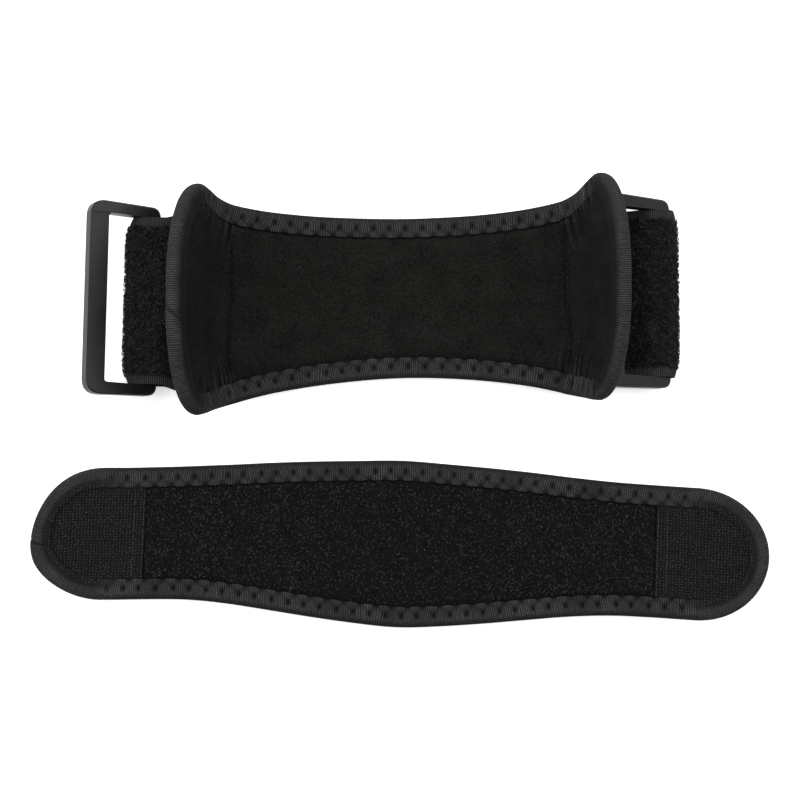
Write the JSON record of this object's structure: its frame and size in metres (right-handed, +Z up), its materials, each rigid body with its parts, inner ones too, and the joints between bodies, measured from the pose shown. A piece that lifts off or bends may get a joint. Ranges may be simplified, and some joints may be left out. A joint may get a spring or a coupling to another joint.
{
  "type": "patellar strap",
  "caption": "Unfastened knee strap: padded hourglass pad with curled flaps and a swinging ring on a folded pile tab at each end, beside its tapered hook-and-loop closing band.",
  "frame": {"origin": "centre of the laid-out strap's box, on the surface that it lies on", "axes": "+X along the band and the pad, +Y across them from the band towards the pad, +Z up, out of the pad's inner face"},
  "size_m": [0.2194, 0.133, 0.0353],
  "materials": {
    "foam": "soft brushed knit over foam",
    "elastic": "ribbed elastic binding tape, matt",
    "pile": "fuzzy loop pile tape",
    "ring_plastic": "moulded, fine satin grain",
    "loop_fabric": "napped loop knit",
    "hook_tape": "woven hook tape"
  },
  "bodies": {
    "strap": {"pad_body": "foam", "pad_binding": "elastic", "left_tab": "pile", "right_tab": "pile", "band_body": "foam", "band_binding": "elastic", "band_loop_field": "loop_fabric", "left_hook_patch": "hook_tape", "right_hook_patch": "hook_tape"},
    "left_ring": {"left_ring": "ring_plastic"},
    "right_ring": {"right_ring": "ring_plastic"}
  },
  "joints": [
    {"name": "left_ring_swing", "type": "hinge", "parent": "strap", "child": "left_ring", "pos_m": [-0.07487, 0.03051, 0.0041], "axis": [0.0166, 0.9999, 0], "range_deg": [-36, 84]},
    {"name": "right_ring_swing", "type": "hinge", "parent": "strap", "child": "right_ring", "pos_m": [0.07829, 0.03281, 0.0041], "axis": [0.0026, 1, 0], "range_deg": [-24, 154]}
  ]
}
